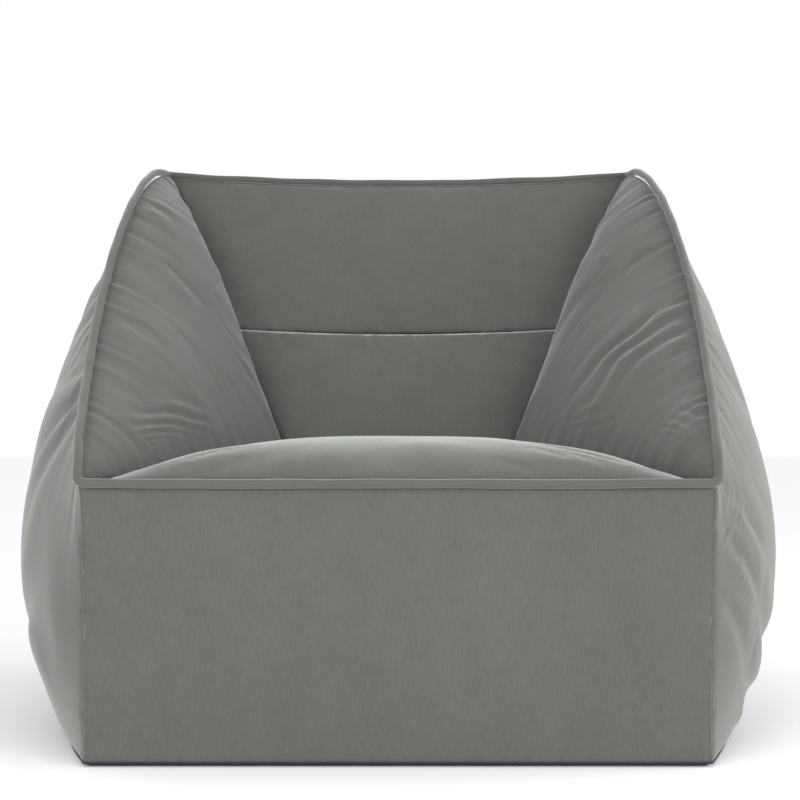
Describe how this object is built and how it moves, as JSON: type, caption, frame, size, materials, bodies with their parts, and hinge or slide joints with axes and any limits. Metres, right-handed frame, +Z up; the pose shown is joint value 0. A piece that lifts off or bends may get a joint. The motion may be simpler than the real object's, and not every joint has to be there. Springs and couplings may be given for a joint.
{
  "type": "bean bag armchair",
  "caption": "Free-standing bean bag armchair with piped arms, crowned seat, quilted-through backrest and a zip low on the back.",
  "frame": {"origin": "centre of the base panel's underside, on the floor", "axes": "+Z up, front of the seat towards -Y, back towards +Y, the sitter's left hand towards +X"},
  "size_m": [0.9456, 0.8222, 0.7213],
  "materials": {
    "cover_velvet": "slate-grey short-pile velvet",
    "base_cloth": "black coated woven cloth",
    "lining": "plain undyed woven lining",
    "bead_fill": "loose white foam beads",
    "cord": "twisted filler cord",
    "zip_tape": "dark woven zip tape",
    "zip_coil": "moulded nylon coil",
    "slider_metal": "dark satin lacquered zinc"
  },
  "bodies": {
    "chair": {"back_panel": "cover_velvet", "base_panel": "base_cloth", "front_panel": "cover_velvet", "left_arm_beads": "bead_fill", "left_arm_divider": "lining", "left_arm_liner": "lining", "left_arm_panel": "cover_velvet", "left_back_divider": "lining", "left_side_panel": "cover_velvet", "lower_back_beads": "bead_fill", "lower_back_liner": "lining", "lower_backrest_panel": "cover_velvet", "lumbar_baffle": "lining", "right_arm_beads": "bead_fill", "right_arm_divider": "lining", "right_arm_liner": "lining", "right_arm_panel": "cover_velvet", "right_back_divider": "lining", "right_side_panel": "cover_velvet", "rim_piping": "cover_velvet", "rim_piping_cord": "cord", "seat_back_divider": "lining", "seat_beads": "bead_fill", "seat_liner": "lining", "seat_panel": "cover_velvet", "upper_back_beads": "bead_fill", "upper_back_liner": "lining", "upper_backrest_panel": "cover_velvet", "zip_garage": "cover_velvet", "zip_guard_flap": "lining", "zip_left_stop": "slider_metal", "zip_lower_coil": "zip_coil", "zip_lower_tape": "zip_tape", "zip_right_stop": "slider_metal", "zip_upper_coil": "zip_coil", "zip_upper_tape": "zip_tape"},
    "zip_slider": {"zip_slider": "slider_metal"}
  },
  "joints": [
    {"name": "zip_slider_slide", "type": "slide", "parent": "chair", "child": "zip_slider", "axis": [1, 0, 0], "range_m": [-0.49, 0]}
  ]
}
